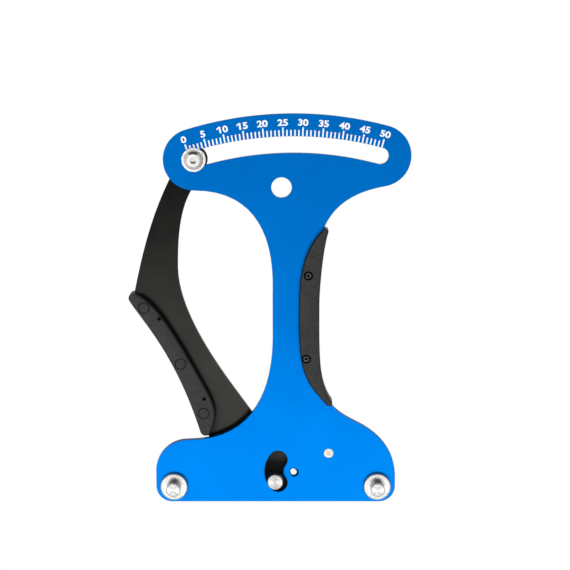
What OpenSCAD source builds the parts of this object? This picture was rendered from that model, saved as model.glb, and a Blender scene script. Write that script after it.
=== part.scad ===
// Spoke tension meter: a frame plate, a sprung lever arm, and the pins, posts, screws and grips they carry.
// Millimetres. +X to the right and +Z up as the scale is read, and the front faces -Y.
// Outlines are drawn about the arm's pivot. The finished part has its origin at the hanging hole.

/* [Scale and head] */
// Radius of the pointer slot's centreline about the arm's pivot
scale_r = 163.8; // [150:0.2:180]
// Angle from upright to the slot's left end, where the scale reads 0
scale_left = 17.2; // [15:0.1:19]
// Turn of the arm from 0 to 50 on the scale
travel = 32; // [26:0.5:33]
// Width of the pointer slot
slot_w = 8; // [7.8:0.1:9]
// Width of the head's band round the slot
head_w = 29.8; // [27:0.2:34]
// Diameter of the hanging hole
hang_d = 10; // [6:0.5:14]
// Distance of the hanging hole to the left of the pivot
hang_left = 6; // [0:0.5:8]
// Height of the hanging hole above the pivot
hang_up = 143; // [138:0.5:145]

/* [Frame plate] */
// Thickness of the frame plate
plate_t = 3; // [2:0.1:4]
// Distance from the pivot to the waist's left edge
waist_left = 10.4; // [9:0.1:11]
// Distance from the pivot to the waist's right edge
waist_right = 10.4; // [9:0.1:12]
// Height at which the neck runs into the straight waist
waist_top = 90; // [86:0.5:96]
// Height at which the straight waist runs into the foot
waist_low = 75; // [70:0.5:80]
// Pull of the left neck curve along the head
neck_left_pull = 41; // [34:0.5:44]
// Pull of the left neck curve along the waist
neck_left_drop = 9; // [4:0.5:20]
// Slope at which the right neck curve leaves the head
neck_right_slope = 10; // [0:1:20]
// Pull of the right neck curve along the head
neck_right_pull = 33; // [26:0.5:36]
// Pull of the right neck curve along the waist
neck_right_drop = 26; // [10:0.5:32]
// Width of the foot to the left of the pivot
foot_left = 69; // [66:0.5:76]
// Width of the foot to the right of the pivot
foot_right = 51; // [50:0.5:60]
// Height of the pivot above the foot's bottom edge
foot_drop = 15.8; // [15.4:0.1:20]
// Radius of the foot's two bottom corners
foot_corner_r = 8; // [3:0.5:9]
// Height of the foot's left shoulder above the pivot
shoulder_up = 16.3; // [14:0.1:16.6]
// Radius of the foot's left shoulder
shoulder_r = 16; // [10:0.5:18]
// Pull of the curve from the left shoulder towards the waist
shoulder_pull = 45; // [36:0.5:46]
// Pull of that curve down the waist
waist_left_drop = 12; // [8:0.5:20]
// Distance from the right edge of the foot to the turn of its right hip
hip_in = 19; // [16:0.5:20]
// Height of the hip's turn above the pivot
hip_up = 25.2; // [22:0.2:27]
// Slope of the hip at its turn
hip_slope = 27.5; // [22:0.5:32]
// Pull of the curve from the hip towards the waist
hip_pull = 14.5; // [8:0.5:18]
// Pull of that curve down the waist
waist_right_drop = 39; // [30:0.5:42]
// Pull of the hip's outer curve
hip_round = 13; // [8:0.5:16]
// Height of the lowest point of the hip's outer curve below the pivot
hip_low = 3; // [0:0.5:6]

/* [Kidney slot and posts] */
// Radius of the kidney slot's centreline about the pivot
kidney_r = 9.8; // [9.6:0.1:10.4]
// Width of the kidney slot
kidney_w = 9.5; // [9:0.1:9.8]
// Half the angle between the centres of the kidney slot's ends
kidney_half = 37.5; // [34:0.5:42]
// Diameter of the moving post
moving_d = 7.8; // [6.5:0.1:8]
// Angle of the moving post below the pivot's level at rest
moving_angle = 20.5; // [18:0.5:24]
// Distance of the fixed posts from the foot's two side edges
post_in = 9; // [8:0.5:14]
// Distance of the fixed posts below the pivot
post_drop = 7.5; // [7:0.1:8.6]
// Diameter of a fixed post
post_d = 7; // [6.6:0.1:8]
// Length of a fixed post beyond its flange
post_l = 5; // [4.5:0.5:9]
// Diameter of a fixed post's flange
flange_d = 13.6; // [11.6:0.1:14]
// Thickness of a fixed post's flange
flange_t = 2.5; // [1.5:0.1:4]
// Chamfer on the turned edges
turned_chamfer = 0.4; // [0.2:0.1:0.6]
// Thread diameter of the screws behind the fixed posts
post_screw_d = 5; // [4:0.5:5]
// Depth of the threaded holes in the fixed and moving posts
post_thread = 6; // [5:0.5:6]
// Thread diameter of the screw behind the moving post
moving_screw_d = 4; // [3:0.5:4]
// Head diameter of the screw behind the moving post
moving_head_d = 7.4; // [6.6:0.1:7.6]

/* [Arm] */
// Thickness of the arm plate
arm_t = 3; // [2.8:0.1:4]
// Radius of the arm's boss round the pivot
boss_r = 15; // [14.8:0.1:15.4]
// Radius of the arm's tip round the pointer
arm_tip_r = 6.5; // [6.2:0.1:8]
// Distance of the arm's elbow to the left of the pivot
elbow_left = 79.1; // [77:0.2:81]
// Height of the elbow above the pivot
elbow_up = 88.1; // [86:0.2:92]
// Distance of the arm's heel to the left of the pivot
heel_left = 44.6; // [44.4:0.2:46]
// Height of the heel above the pivot
heel_up = 20.8; // [20.6:0.2:23]
// Distance of the arm's hollow to the left of the pivot, where its inner edge turns back
hollow_left = 57.1; // [55:0.2:58]
// Height of the hollow above the pivot
hollow_up = 103; // [96:0.5:104]
// Distance to the left of the pivot at which the inner edge aims at the pivot
knee_left = 22; // [21:0.5:24]
// Height of that point above the pivot
knee_up = 31.2; // [30:0.2:34]

/* [Pivot] */
// Diameter of the pivot pin's riveted front end
pin_front_d = 3.6; // [3:0.1:4]
// Height of the rivet head in front of the plate
pin_head = 0.8; // [0.4:0.1:1.2]
// Diameter of the pivot pin's journal
journal_d = 6; // [5:0.1:6.4]
// Outer diameter of the bush in the arm
bush_d = 8.6; // [8.2:0.1:9]
// Thickness of the slip washers between plate and arm
glide_t = 0.5; // [0.3:0.1:1]
// Width of the ring of the pivot's slip washer
glide_w = 1.7; // [1:0.1:1.8]
// Play between pieces that turn against each other, measured along the pivot
play = 0.1; // [0.05:0.05:0.3]
// Radial clearance of a running fit
run_gap = 0.05; // [0.02:0.01:0.1]
// Thickness of the washer behind the arbor
retainer_t = 0.8; // [0.5:0.1:1.5]
// Diameter of the washer behind the arbor
retainer_d = 16.5; // [14:0.5:18]
// Thickness of the retaining clip
clip_t = 0.7; // [0.5:0.1:1]
// Diameter of the retaining clip
clip_d = 11; // [10:0.5:13]
// Depth of the clip's groove in the pin
groove = 0.7; // [0.5:0.1:0.9]

/* [Return spring] */
// Wire diameter of the spring
wire_d = 2; // [1.6:0.1:2.2]
// Mean diameter of the coil
coil_d = 16; // [15:0.5:18]
// Whole turns of the coil
coil_turns = 3; // [2:1:4]
// Gap from one turn to the next
coil_gap = 0.65; // [0.6:0.05:1]
// Radial gap between the coil and its arbor
arbor_gap = 0.75; // [0.4:0.05:0.9]
// Thickness of the arbor's flange
arbor_flange_t = 0.8; // [0.5:0.1:1.5]
// Diameter of the arbor's flange
arbor_flange_d = 19; // [18:0.5:20]
// Distance of the anchor stud to the right of the pivot
anchor_right = 17.6; // [17.4:0.2:19]
// Height of the anchor stud above the pivot
anchor_up = 9.4; // [9.2:0.2:11]
// Diameter of the anchor stud's riveted front end
anchor_front_d = 4.7; // [4:0.1:5]
// Diameter of the anchor stud behind the plate
anchor_d = 6; // [5.4:0.1:6.2]
// Length of the spring's legs from the coil to the arm's hole
leg_l = 18; // [16:0.5:20]
// Angle of the spring's hole in the arm, seen from the pivot
leg_hole_angle = 135; // [128:1:142]
// Radius of the bend into the arm's hole
leg_bend = 2; // [1.8:0.1:2.2]

/* [Pointer] */
// Thread diameter of the pointer screw
pointer_d = 5; // [4:0.5:5.2]
// Head diameter of the pointer screw
pointer_head_d = 9.5; // [8.5:0.1:10]
// Head height of the pointer screw
pointer_head_h = 2.75; // [2:0.05:3.2]
// Diameter of the pointer's front washer
pointer_washer_d = 12; // [11:0.1:13]
// Thickness of the pointer's washers
pointer_washer_t = 1; // [0.8:0.1:1.6]
// Radial gap between the sleeve and the slot
sleeve_gap = 0.2; // [0.1:0.05:0.3]
// Distance across the pointer nut's flats
nut_flats = 8; // [7:0.1:9]
// Height of the pointer nut
nut_h = 4; // [3.2:0.1:5]

/* [Grips] */
// Height of each grip half above the plate that it covers
grip_t = 3.5; // [2.6:0.1:4.5]
// Reach of the grips beyond the edge that they wrap
grip_over = 2.2; // [1.6:0.1:2.4]
// Rounding of the grips' edges
grip_round = 1.2; // [0.6:0.1:1.3]
// Height of the body grip's top end above the pivot
body_grip_top = 121.9; // [119:0.1:123]
// Height of the body grip's low end above the pivot
body_grip_low = 35.9; // [35:0.1:39]
// Width of the body grip over the frame plate
body_grip_in = 7.9; // [7:0.1:8.4]
// Radius of the body grip's top end
body_grip_top_r = 1.4; // [1.35:0.05:1.7]
// Radius of the body grip's low end
body_grip_low_r = 1.6; // [1.35:0.05:2]
// Radius of the arm grip's top end
arm_grip_top_r = 2.5; // [2:0.1:3]
// Radius of the arm grip's low end
arm_grip_low_r = 2.8; // [2.4:0.1:2.9]
// Distance of the arm grip's widest point to the right of the heel
arm_grip_bulge_x = 1.4; // [0.6:0.1:2]
// Height of the arm grip's widest point above the heel
arm_grip_bulge_z = 20.9; // [19:0.1:22]
// Thread diameter of the grip screws
grip_screw_d = 2.5; // [2:0.1:2.6]
// Head diameter of the grip screws
grip_head_d = 4.3; // [3.8:0.1:4.6]
// Head height of the grip screws
grip_head_h = 1.4; // [1:0.1:1.6]
// Diameter of the arm grip's small front holes
grip_vent_d = 1.8; // [1.2:0.1:1.8]
// Distance of the body grip's high screw from the waist's edge
screw_high_in = 3.3; // [3:0.1:3.8]
// Height of the body grip's high screw above the pivot
screw_high_up = 100.2; // [96:0.2:104]
// Distance of the body grip's low screw from the waist's edge
screw_low_in = 4.2; // [3.6:0.1:4.6]
// Height of the body grip's low screw above the pivot
screw_low_up = 58.6; // [55:0.2:64]

/* [Hidden] */

blue = [0, 0.47, 0.88];
black = [0.13, 0.13, 0.13];
grip_grey = [0.26, 0.26, 0.26];
bright = [0.85, 0.85, 0.83];
steel = [0.62, 0.62, 0.62];
bronze = [0.72, 0.52, 0.3];
nylon = [0.08, 0.08, 0.08];

$fn = 64;
curve_steps = 20;
arc_error = 0.008;
fit = 0.02; // clearance of pieces that are pressed or screwed together
loose = 0.15; // clearance of a screw in a plain hole
far = 400; // longer than the whole part
through = 1; // run of a cut beyond the face that it passes
socket_ratio = 0.69; // hexagon socket across its corners, against the screw's thread

// Levels along Y. The frame plate lies on the XZ plane, half of it to each side.
plate_front = -plate_t / 2;
plate_back = plate_t / 2;
arm_front = plate_back + play + glide_t;
arm_back = arm_front + arm_t;
arm_mid = arm_front + arm_t / 2;
post_front = plate_front - flange_t - post_l;
arbor_front = arm_back + play;
coil_y0 = arbor_front + arbor_flange_t + play + wire_d / 2;

// Places about the pivot, as [x, z]
function dir(a) = [cos(a), sin(a)];
scale_right = travel - scale_left;
head_left = scale_r * dir(90 + scale_left);
head_right = scale_r * dir(90 - scale_right);
hang = [-hang_left, hang_up];
post_left = [-foot_left + post_in, -post_drop];
post_right = [foot_right - post_in, -post_drop];
moving = kidney_r * dir(180 + moving_angle);
anchor = [anchor_right, anchor_up];
elbow = [-elbow_left, elbow_up];
heel = [-heel_left, heel_up];
hollow = [-hollow_left, hollow_up];
knee = [-knee_left, knee_up];

// A smooth stretch that leaves p at angle a with pull h, and arrives at q at angle b with pull k
function curve(p, a, h, q, b, k, steps = curve_steps) = let (p1 = p + h * dir(a), q1 = q - k * dir(b))
    [for (i = [0 : steps]) let (t = i / steps, u = 1 - t)
        u*u*u * p + 3*u*u*t * p1 + 3*u*t*t * q1 + t*t*t * q];

// A round stretch about c from angle a to angle b
function arc(c, r, a, b) = let (n = ceil(abs(b - a) / (2 * acos(1 - arc_error / r))))
    [for (i = [0 : n]) c + r * dir(a + (b - a) * i / n)];

// One outline from its stretches, with each point once
function join(parts) = let (p = [for (part = parts) each part], n = len(p))
    [for (i = [0 : n - 1]) if (norm(p[i] - p[(i + 1) % n]) > 0.01) p[i]];

// The outline moved inwards by d, with each of its sides kept parallel
function inward(a, b) = [a[1] - b[1], b[0] - a[0]] / norm(b - a);
function inset(p, d) = let (n = len(p))
    [for (i = [0 : n - 1]) let (u = inward(p[(i + n - 1) % n], p[i]), v = inward(p[i], p[(i + 1) % n]))
        p[i] + d * (u + v) / (1 + u * v)];

module slab(y0, y1) {
    translate([0, y1, 0]) rotate([90, 0, 0]) linear_extrude(y1 - y0) children();
}

// A turned piece about the Y axis, from a profile of [radius, y]
module turned(profile) {
    rotate([-90, 0, 0]) rotate_extrude() polygon(profile);
}

module rod(r, y0, y1) {
    translate([0, y0, 0]) rotate([-90, 0, 0]) cylinder(r = r, h = y1 - y0);
}

module tube(r_in, r_out, y0, y1) {
    turned([[r_in, y0], [r_out, y0], [r_out, y1], [r_in, y1]]);
}

module at(p) {
    translate([p[0], 0, p[1]]) children();
}

// A slot along an arc about the pivot, with round ends
module arc_slot(r, w, a, b) {
    polygon(join([
        arc([0, 0], r + w / 2, a, b),
        arc(r * dir(b), w / 2, b, b + 180),
        arc([0, 0], r - w / 2, b, a),
        arc(r * dir(a), w / 2, a + 180, a + 360)
    ]));
}

module frame_outline() {
    lobe = head_w / 2;
    shoulder = [-foot_left + shoulder_r, shoulder_up];
    hip = [foot_right - hip_in, hip_up];
    hip_end = [foot_right, -hip_low];
    corner_up = -foot_drop + foot_corner_r;
    polygon(join([
        arc([0, 0], scale_r + lobe, 90 - scale_right, 90 + scale_left),
        arc(head_left, lobe, 90 + scale_left, 270),
        curve(head_left + lobe * dir(270), 0, neck_left_pull, [-waist_left, waist_top], 270, neck_left_drop),
        curve([-waist_left, waist_low], 270, waist_left_drop, shoulder, 180, shoulder_pull),
        arc(shoulder - [0, shoulder_r], shoulder_r, 90, 180),
        arc([-foot_left + foot_corner_r, corner_up], foot_corner_r, 180, 270),
        arc([foot_right - foot_corner_r, corner_up], foot_corner_r, 270, 360),
        curve(hip_end, 90, hip_round, hip, 180 - hip_slope, hip_round),
        curve(hip, 180 - hip_slope, hip_pull, [waist_right, waist_low], 90, waist_right_drop),
        curve([waist_right, waist_top], 90, neck_right_drop,
            head_right + lobe * dir(270 + neck_right_slope), neck_right_slope, neck_right_pull),
        arc(head_right, lobe, -90 + neck_right_slope, 90 - scale_right)
    ]));
}

module frame_plate() {
    color(blue) difference() {
        slab(plate_front, plate_back) frame_outline();
        slab(plate_front - through, plate_back + through) {
            arc_slot(scale_r, slot_w, 90 - scale_right, 90 + scale_left);
            arc_slot(kidney_r, kidney_w, 180 - kidney_half, 180 + kidney_half);
        }
        at(hang) rod(hang_d / 2, plate_front - through, plate_back + through);
        rod(pin_front_d / 2 + fit, plate_front - through, plate_back + through);
        at(anchor) rod(anchor_front_d / 2 + fit, plate_front - through, plate_back + through);
        for (p = [post_left, post_right]) at(p)
            rod(post_screw_d / 2 + loose, plate_front - through, plate_back + through);
        for (p = body_screws) at(p)
            rod(grip_screw_d / 2 + loose, plate_front - through, plate_back + through);
    }
}

// Fixed posts: a flange against the plate, a plain stub for the spoke, and a thread from behind
module fixed_post() {
    c = turned_chamfer;
    bore = post_screw_d / 2 + fit;
    y_flange = plate_front - flange_t;
    color(bright) turned([
        [0, plate_front - post_thread], [bore, plate_front - post_thread], [bore, plate_front],
        [flange_d / 2, plate_front], [flange_d / 2, y_flange + c], [flange_d / 2 - c, y_flange],
        [post_d / 2, y_flange], [post_d / 2, post_front + c], [post_d / 2 - c, post_front],
        [0, post_front]
    ]);
}

module fixed_post_left() {
    at(post_left) fixed_post();
}

module fixed_post_right() {
    at(post_right) fixed_post();
}

post_washer_t = 1;
post_washer_r = post_screw_d;
post_head_r = 0.95 * post_screw_d;
post_head_h = 0.55 * post_screw_d;
thread_spare = 1; // depth of a threaded hole beyond its screw's end
post_shank = plate_t + post_washer_t + post_thread - thread_spare;

// A button-head screw along Y. Its head's seat is at y = 0 and its shank runs to -y.
module button_screw(d, head_r, head_h, shank) {
    dome_steps = 6;
    flat_r = 0.55 * head_r;
    socket_y = 0.4 * head_h;
    sphere_c = (flat_r * flat_r + head_h * head_h - head_r * head_r) / (2 * head_h);
    sphere_r = norm([head_r, sphere_c]);
    difference() {
        turned(concat(
            [[0, -shank], [d / 2 - turned_chamfer, -shank], [d / 2, -shank + turned_chamfer], [d / 2, 0]],
            [for (i = [0 : dome_steps])
                let (a0 = asin(-sphere_c / sphere_r), a1 = asin((head_h - sphere_c) / sphere_r),
                    a = a0 + (a1 - a0) * i / dome_steps) [sphere_r * cos(a), sphere_c + sphere_r * sin(a)]],
            [[0, head_h]]
        ));
        translate([0, socket_y, 0]) rotate([-90, 0, 0]) cylinder(d = socket_ratio * d, h = head_h, $fn = 6);
    }
}

module post_screws() {
    color(steel) for (p = [post_left, post_right]) at(p)
        translate([0, plate_back + post_washer_t, 0])
            button_screw(post_screw_d, post_head_r, post_head_h, post_shank);
}

module post_washers() {
    color(steel) for (p = [post_left, post_right]) at(p)
        tube(post_screw_d / 2 + loose, post_washer_r, plate_back, plate_back + post_washer_t);
}

// Pivot: a shouldered pin riveted into the plate, with a journal for the arm and a groove for the clip
coil_r = coil_d / 2;
leg_pull = atan(leg_l / coil_r);
arm_tangent = leg_hole_angle + leg_pull;
anchor_r = norm(anchor);
anchor_leg = sqrt(anchor_r * anchor_r - coil_r * coil_r);
frame_tangent = atan2(anchor[1], anchor[0]) - atan(anchor_leg / coil_r);
coil_turn = 360 * coil_turns + (frame_tangent - arm_tangent + 720) % 360;
coil_pitch = wire_d + coil_gap;
coil_y1 = coil_y0 + coil_pitch * coil_turn / 360;
arbor_back = coil_y1 + wire_d / 2 + play;
clip_y0 = arbor_back + retainer_t + 2 * fit;
end_beyond = 1; // length of a pin or stud beyond what it holds
pin_back = clip_y0 + clip_t + end_beyond;

module pivot_pin() {
    r0 = pin_front_d / 2;
    r1 = journal_d / 2;
    color(bright) turned([
        [0, plate_front - pin_head], [0.6 * r0, plate_front - pin_head],
        [0.9 * r0, plate_front - 0.7 * pin_head], [r0, plate_front - 0.3 * pin_head],
        [r0, plate_back], [r1, plate_back],
        [r1, clip_y0 - fit], [r1 - groove, clip_y0 - fit], [r1 - groove, clip_y0 + clip_t + fit],
        [r1, clip_y0 + clip_t + fit], [r1, pin_back - turned_chamfer], [r1 - turned_chamfer, pin_back],
        [0, pin_back]
    ]);
}

module pivot_bush() {
    color(bronze) tube(journal_d / 2 + run_gap, bush_d / 2, arm_front, arm_back);
}

module pivot_glide_washer() {
    r_in = journal_d / 2 + run_gap;
    color(nylon) tube(r_in, r_in + glide_w, arm_front - glide_t, arm_front);
}

module spring_arbor() {
    barrel = coil_r - wire_d / 2 - arbor_gap;
    color(nylon) turned([
        [journal_d / 2 + run_gap, arbor_front], [arbor_flange_d / 2, arbor_front],
        [arbor_flange_d / 2, arbor_front + arbor_flange_t], [barrel, arbor_front + arbor_flange_t],
        [barrel, arbor_back], [journal_d / 2 + run_gap, arbor_back]
    ]);
}

module retaining_washer() {
    y0 = arbor_back + fit;
    color(steel) tube(journal_d / 2 + run_gap, retainer_d / 2, y0, y0 + retainer_t);
}

// An E-shaped clip: a ring that opens downwards, with a notch to each side of its upper prong
module retaining_clip() {
    seat = journal_d / 2 - groove + fit;
    mouth = 1.5 * seat;
    notch = 0.9 * seat;
    notch_up = 35;
    color(steel) difference() {
        rod(clip_d / 2, clip_y0, clip_y0 + clip_t);
        rod(seat, clip_y0 - through, clip_y0 + clip_t + through);
        slab(clip_y0 - through, clip_y0 + clip_t + through) {
            translate([-mouth / 2, -clip_d]) square([mouth, clip_d]);
            for (a = [notch_up, 180 - notch_up]) rotate(a) translate([seat, 0]) circle(notch / 2);
        }
    }
}

// The anchor stud is riveted into the plate like the pivot pin. A slot across its end holds the spring's leg.
module spring_anchor_stud() {
    r0 = anchor_front_d / 2;
    r1 = anchor_d / 2;
    slot = wire_d + 2 * loose;
    back = coil_y1 + wire_d / 2 + end_beyond;
    color(bright) difference() {
        at(anchor) turned([
            [0, plate_front], [r0, plate_front], [r0, plate_back], [r1, plate_back],
            [r1, back - turned_chamfer], [r1 - turned_chamfer, back], [0, back]
        ]);
        at(anchor) rotate([0, -(frame_tangent + 90), 0])
            translate([-anchor_d, coil_y1 - slot / 2, -slot / 2]) cube([2 * anchor_d, back, slot]);
    }
}

// Return spring: its front leg bends into the arm, the coil climbs backwards round the arbor, and its rear leg
// lies across the anchor stud. Places are [x, z], and y is carried beside them.
wire_sides = 6;
coil_steps = 24;
bend_steps = 4;
leg_over = 1.5 * wire_d;
arm_leg_dir = dir(arm_tangent + 90);
frame_leg_dir = dir(frame_tangent + 90);
leg_hole = coil_r * dir(arm_tangent) - leg_l * arm_leg_dir;
leg_end = coil_r * dir(frame_tangent) + (anchor_leg + anchor_d / 2 + leg_over) * frame_leg_dir;
leg_tail_y = arm_front + 0.2 * arm_t;
function place(p, y) = [p[0], y, p[1]];

coil_n = round(coil_steps * coil_turn / 360);
coil_path = [for (i = [0 : coil_n]) place(coil_r * dir(arm_tangent + coil_turn * i / coil_n),
    coil_y0 + (coil_y1 - coil_y0) * i / coil_n)];
bend_path = [for (i = [0 : bend_steps]) let (a = 90 * i / bend_steps)
    place(leg_hole + leg_bend * (1 - cos(a)) * arm_leg_dir, coil_y0 - leg_bend + leg_bend * sin(a))];
spring_path = concat([place(leg_hole, leg_tail_y)], bend_path, coil_path, [place(leg_end, coil_y1)]);
spring_n = len(spring_path);
first_coil = 1 + len(bend_path);

// Direction of the wire at each point, and the direction beside it, which stays square to the front leg's bend
function wire_t(i) = let (a = spring_path[max(i - 1, 0)], b = spring_path[min(i + 1, spring_n - 1)])
    i == 0 ? [0, 1, 0] : (b - a) / norm(b - a);
function wire_s(i) = i < first_coil ? cross(place(arm_leg_dir, 0), [0, 1, 0])
    : let (s = cross(wire_t(i), [0, 1, 0])) s / norm(s);
spring_points = [for (i = [0 : spring_n - 1]) let (t = wire_t(i), s = wire_s(i), u = cross(s, t))
    for (k = [0 : wire_sides - 1]) spring_path[i]
        + wire_d / 2 * (cos(360 * k / wire_sides) * s + sin(360 * k / wire_sides) * u)];
spring_faces = concat(
    [for (k = [1 : wire_sides - 2]) [0, k, k + 1]],
    [for (i = [0 : spring_n - 2], k = [0 : wire_sides - 1], half = [0, 1])
        let (a = i * wire_sides + k, b = i * wire_sides + (k + 1) % wire_sides)
        half == 0 ? [a, a + wire_sides, b] : [b, a + wire_sides, b + wire_sides]],
    [for (k = [1 : wire_sides - 2]) let (e = (spring_n - 1) * wire_sides) [e, e + k + 1, e + k]]
);

// Least gap of the spring to itself, from points at least a third of a turn apart along the wire
spring_gap = min([for (i = [0 : spring_n - 2], j = [i + 1 : spring_n - 1])
    if (j - i >= coil_steps / 3) norm(spring_path[i] - spring_path[j])]) - wire_d;

module return_spring() {
    echo(least_gap_of_spring_to_itself = spring_gap);
    color(steel) polyhedron(points = spring_points, faces = spring_faces);
}

// Arm plate, with its tip round the pointer, its elbow and heel under the grip, and its boss round the pivot
tip_in = 61.2; // slope of the inner edge where it meets the tip
tip_out = 63.4; // slope of the outer edge there
elbow_in = 78.7; // slope of the outer edge above the elbow
elbow_out = 59.5; // slope below it
heel_slope = 73.3;
knee_slope = atan2(knee_up, knee_left);
boss_from = 205; // angles at which the two edges leave the boss
boss_to = 75;
// Pulls of the arm's curves, each at its start and its end
outer_pull = [19, 42];
wrap_pull = [11.5, 42.2];
heel_pull = [10, 14];
boss_pull = [10, 6];
knee_pull = [18, 25.3];
inner_pull = [33.9, 14.6];
// The grip's screws, from the elbow and from the heel
arm_screw_high = [12.8, -10];
arm_screw_low = [0.1, 16.6];
arm_screws = [elbow + arm_screw_high, heel + arm_screw_low];

module arm_outline() {
    tip_start = head_left + arm_tip_r * dir(tip_in - 90);
    tip_end = head_left + arm_tip_r * dir(90 + tip_out);
    polygon(join([
        arc(head_left, arm_tip_r, tip_in - 90, 90 + tip_out),
        curve(tip_end, 180 + tip_out, outer_pull[0], elbow, 180 + elbow_in, outer_pull[1]),
        curve(elbow, -elbow_out, wrap_pull[0], heel, -heel_slope, wrap_pull[1]),
        curve(heel, -heel_slope, heel_pull[0], boss_r * dir(boss_from), boss_from + 90, heel_pull[1]),
        arc([0, 0], boss_r, boss_from, boss_to + 360),
        curve(boss_r * dir(boss_to), boss_to + 90, boss_pull[0], knee, 180 - knee_slope, boss_pull[1]),
        curve(knee, 180 - knee_slope, knee_pull[0], hollow, 90, knee_pull[1]),
        curve(hollow, 90, inner_pull[0], tip_start, tip_in, inner_pull[1])
    ]));
}

module arm_plate() {
    cone = moving_head_d / 2 - moving_screw_d / 2;
    color(black) difference() {
        slab(arm_front, arm_back) arm_outline();
        rod(bush_d / 2 + fit, arm_front - through, arm_back + through);
        at(head_left) rod(pointer_d / 2 + loose, arm_front - through, arm_back + through);
        at(leg_hole) rod(wire_d / 2 + loose, arm_front - through, arm_back + through);
        at(moving) turned([
            [0, arm_front - through], [moving_screw_d / 2 + loose, arm_front - through],
            [moving_screw_d / 2 + loose, arm_back - cone], [moving_head_d / 2 + loose, arm_back],
            [moving_head_d / 2 + loose, arm_back + through], [0, arm_back + through]
        ]);
        for (p = arm_screws) at(p) rod(grip_screw_d / 2 + loose, arm_front - through, arm_back + through);
    }
}

module moving_post() {
    bore = moving_screw_d / 2 + fit;
    r = moving_d / 2;
    color(bright) at(moving) turned([
        [0, arm_front - post_thread], [bore, arm_front - post_thread], [bore, arm_front], [r, arm_front],
        [r, post_front + turned_chamfer], [r - turned_chamfer, post_front], [0, post_front]
    ]);
}

// Countersunk screw, flush with the back of the arm
module moving_post_screw() {
    r = moving_screw_d / 2;
    cone = moving_head_d / 2 - r;
    tip = arm_front - post_thread + thread_spare;
    socket_depth = 0.35 * moving_screw_d;
    color(steel) at(moving) difference() {
        turned([
            [0, tip], [r - turned_chamfer, tip], [r, tip + turned_chamfer], [r, arm_back - fit - cone],
            [moving_head_d / 2, arm_back - fit], [0, arm_back - fit]
        ]);
        translate([0, arm_back - socket_depth, 0]) rotate([-90, 0, 0])
            cylinder(d = socket_ratio * moving_screw_d, h = socket_depth + through, $fn = 6);
    }
}

// Pointer: the screw clamps front washer, sleeve and arm together, and the sleeve runs in the arc slot
washer_front = plate_front - play - pointer_washer_t;
sleeve_r = slot_w / 2 - sleeve_gap;
rear_washer_y = arm_back + pointer_washer_t;
screw_beyond = 0.7; // length of the pointer screw behind its nut
glide_in = 0.4; // slip washer and rear washer within the arm's tip
rear_washer_in = 1;

module pointer_screw() {
    tip = rear_washer_y + nut_h + screw_beyond;
    color(bright) at(head_left) translate([0, washer_front, 0]) mirror([0, 1, 0])
        button_screw(pointer_d, pointer_head_d / 2, pointer_head_h, tip - washer_front);
}

module pointer_washer() {
    c = 0.25 * pointer_washer_t;
    r = pointer_washer_d / 2;
    color(bright) at(head_left) turned([
        [pointer_d / 2 + fit, washer_front], [r - c, washer_front], [r, washer_front + c],
        [r, washer_front + pointer_washer_t], [pointer_d / 2 + fit, washer_front + pointer_washer_t]
    ]);
}

module pointer_sleeve() {
    color(steel) at(head_left) tube(pointer_d / 2 + fit, sleeve_r, plate_front - play, arm_front);
}

module pointer_glide_washer() {
    color(nylon) at(head_left) tube(sleeve_r + run_gap, arm_tip_r - glide_in, arm_front - glide_t, arm_front);
}

module pointer_rear_washer() {
    r = arm_tip_r - rear_washer_in;
    color(steel) at(head_left) tube(pointer_d / 2 + loose, r, arm_back, rear_washer_y);
}

module pointer_nut() {
    color(steel) at(head_left) difference() {
        translate([0, rear_washer_y, 0]) rotate([-90, 0, 0])
            cylinder(d = nut_flats / cos(30), h = nut_h, $fn = 6);
        rod(pointer_d / 2 + fit, rear_washer_y - through, rear_washer_y + nut_h + through);
    }
}

// Grips: each is a pair of moulded halves that meet beyond the edge of the plate between them
round_steps = 4;

// Half a grip in front of y = 0, where the halves part, with its front edge rounded
module grip_half(p, h) {
    difference() {
        grip_shell(p, h);
        translate([-far, 0, -far]) cube([2 * far, 2 * through, 2 * far]);
    }
}

module grip_shell(p, h) {
    n = len(p);
    levels = concat([[0, -through]], [for (i = [0 : round_steps]) let (a = 90 * i / round_steps)
        [grip_round * (1 - cos(a)), h - grip_round * (1 - sin(a))]]);
    m = len(levels);
    points = [for (l = levels) for (q = inset(p, l[0])) [q[0], -l[1], q[1]]];
    sides = [for (k = [0 : m - 2], i = [0 : n - 1]) let (a = k * n + i, b = k * n + (i + 1) % n)
        [a, a + n, b + n, b]];
    last = (m - 1) * n;
    front_face = flat_face(n);
    rear_face = [for (f = front_face) [last + f[2], last + f[1], last + f[0]]];
    polyhedron(points = points, faces = concat(sides, front_face, rear_face));
}

// Triangles from side to side across a grip whose outline starts at the middle of one end
function flat_face(n) = [for (i = [0 : ceil(n / 2) - 2]) let (j = n - 1 - i)
    each concat([[i, i + 1, j]], i + 1 < j - 1 ? [[i + 1, j - 1, j]] : [])];

body_edge = waist_right + grip_over;
body_inner = waist_right - body_grip_in;
body_top = [body_edge + 2.9, body_grip_top]; // centre of the top end's round
body_low = [body_edge + 5, body_grip_low]; // centre of the low end's round
body_screws = [[waist_right - screw_high_in, screw_high_up], [waist_right - screw_low_in, screw_low_up]];
// Heights between which each edge is straight, and the angles at which the edges meet the ends' rounds
edge_straight = [80, 86];
inner_straight = [76, 82];
low_round = [222, 35];
top_round = [-18, 135];
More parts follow.
